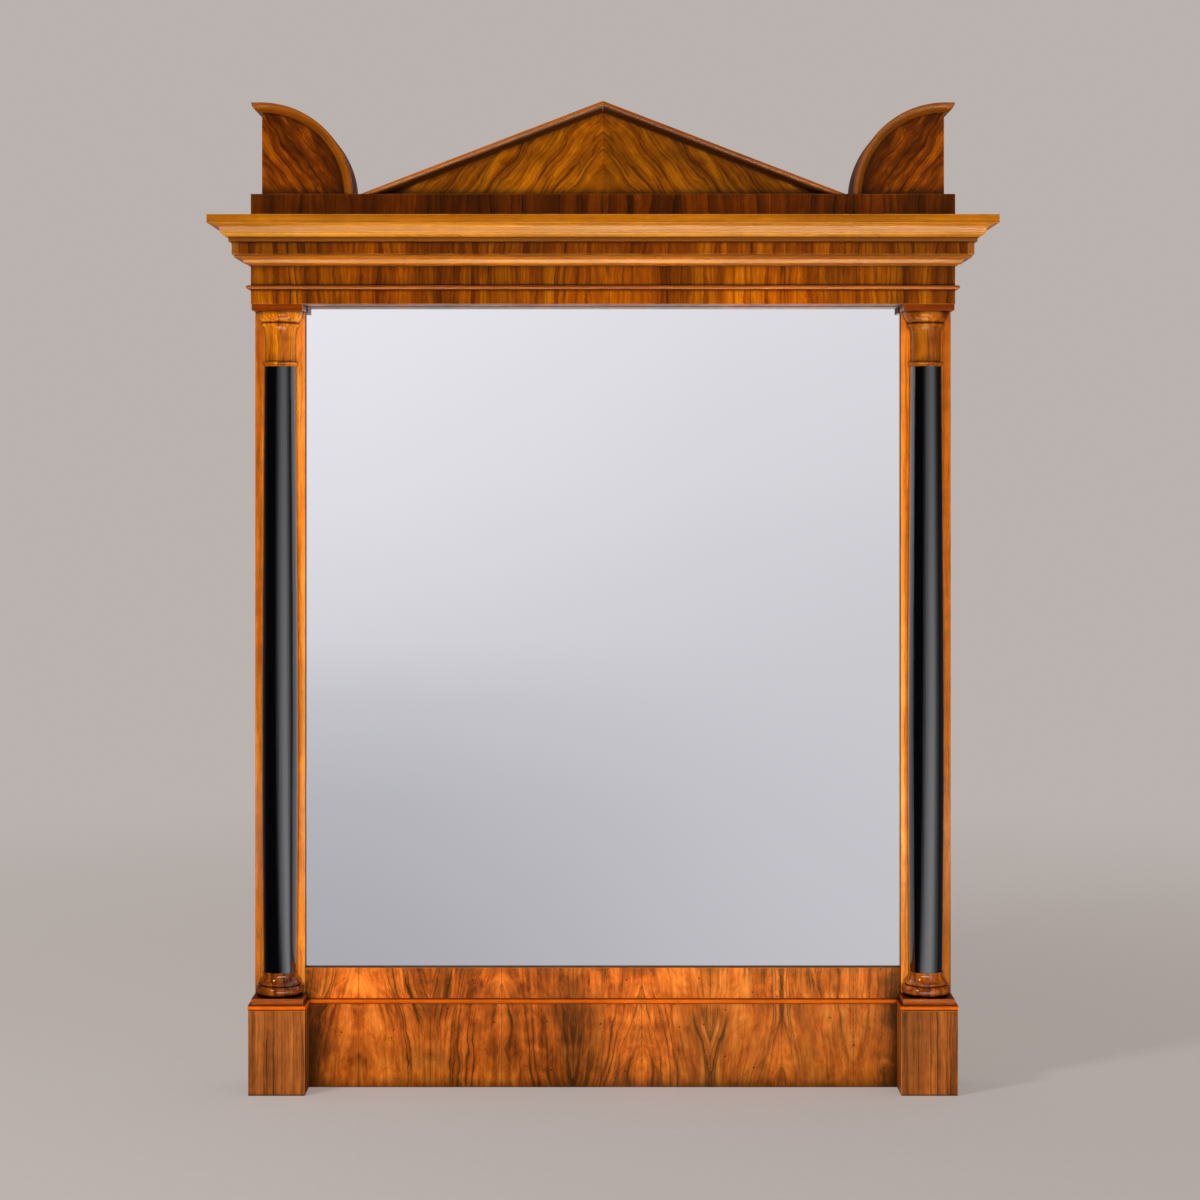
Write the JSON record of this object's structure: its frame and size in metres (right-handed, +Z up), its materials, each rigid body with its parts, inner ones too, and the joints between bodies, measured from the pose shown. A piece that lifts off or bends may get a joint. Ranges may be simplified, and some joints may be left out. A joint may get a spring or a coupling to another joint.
{
  "type": "wall mirror",
  "caption": "Wall mirror with half round black columns, a moulded cornice, a low pediment and quarter round corner blocks, hung by rings on its back.",
  "frame": {"origin": "middle of the base's lower edge, on the plane of the wall", "axes": "+Z up, +X to the right as seen from the front, +Y into the wall; the front faces -Y"},
  "size_m": [0.943, 0.1298, 1.1996],
  "materials": {
    "walnut_veneer": "french polished, figured walnut",
    "walnut_moulding": "french polished, amber walnut",
    "ebonised": "black polish, glossy",
    "softwood": "bare, aged",
    "back_board": "bare, aged",
    "plate": "silvered plate glass",
    "hanger_brass": "dull",
    "nail_steel": "dull"
  },
  "bodies": {
    "mirror_frame": {"abacus_left": "walnut_moulding", "abacus_right": "walnut_moulding", "acroterion_left": "walnut_veneer", "acroterion_moulding_left": "walnut_moulding", "acroterion_moulding_right": "walnut_moulding", "acroterion_right": "walnut_veneer", "architrave": "walnut_veneer", "attic_block": "softwood", "attic_veneer": "walnut_veneer", "back_board_left": "back_board", "back_board_middle": "back_board", "back_board_nails": "nail_steel", "back_board_right": "back_board", "base_bead": "walnut_moulding", "base_veneer": "walnut_veneer", "bed_moulding_front": "walnut_moulding", "bed_moulding_left": "walnut_moulding", "bed_moulding_right": "walnut_moulding", "bottom_rail": "softwood", "capital_left": "walnut_moulding", "capital_right": "walnut_moulding", "column_base_left": "walnut_moulding", "column_base_right": "walnut_moulding", "column_shaft_left": "ebonised", "column_shaft_right": "ebonised", "cornice_board": "walnut_moulding", "crown_moulding_front": "walnut_moulding", "crown_moulding_left": "walnut_moulding", "crown_moulding_right": "walnut_moulding", "entablature_ends": "softwood", "fascia_front": "walnut_veneer", "fascia_left": "walnut_veneer", "fascia_packing": "softwood", "fascia_right": "walnut_veneer", "foot_plate_left": "walnut_moulding", "foot_plate_right": "walnut_moulding", "frieze_bead_front": "walnut_moulding", "frieze_bead_left": "walnut_moulding", "frieze_bead_right": "walnut_moulding", "frieze_board": "walnut_veneer", "glue_blocks": "softwood", "hanger_screws": "hanger_brass", "hanger_strap_left": "hanger_brass", "hanger_strap_right": "hanger_brass", "mirror_plate": "plate", "pediment_board": "walnut_veneer", "plate_blocks": "softwood", "plinth_cap_left": "walnut_moulding", "plinth_cap_right": "walnut_moulding", "plinth_left": "walnut_veneer", "plinth_right": "walnut_veneer", "raking_moulding_left": "walnut_moulding", "raking_moulding_right": "walnut_moulding", "stile_left": "softwood", "stile_right": "softwood", "stile_veneer_left": "walnut_veneer", "stile_veneer_right": "walnut_veneer", "top_rail": "softwood"},
    "ring_left": {"hanger_ring_left": "hanger_brass"},
    "ring_right": {"hanger_ring_right": "hanger_brass"}
  },
  "joints": [
    {"name": "hanger_ring_left_swing", "type": "hinge", "parent": "mirror_frame", "child": "ring_left", "pos_m": [-0.33, -0.0092, 1.0199], "axis": [-1, 0, 0], "range_deg": [0, 175]},
    {"name": "hanger_ring_right_swing", "type": "hinge", "parent": "mirror_frame", "child": "ring_right", "pos_m": [0.33, -0.0092, 1.0199], "axis": [-1, 0, 0], "range_deg": [0, 175]}
  ]
}
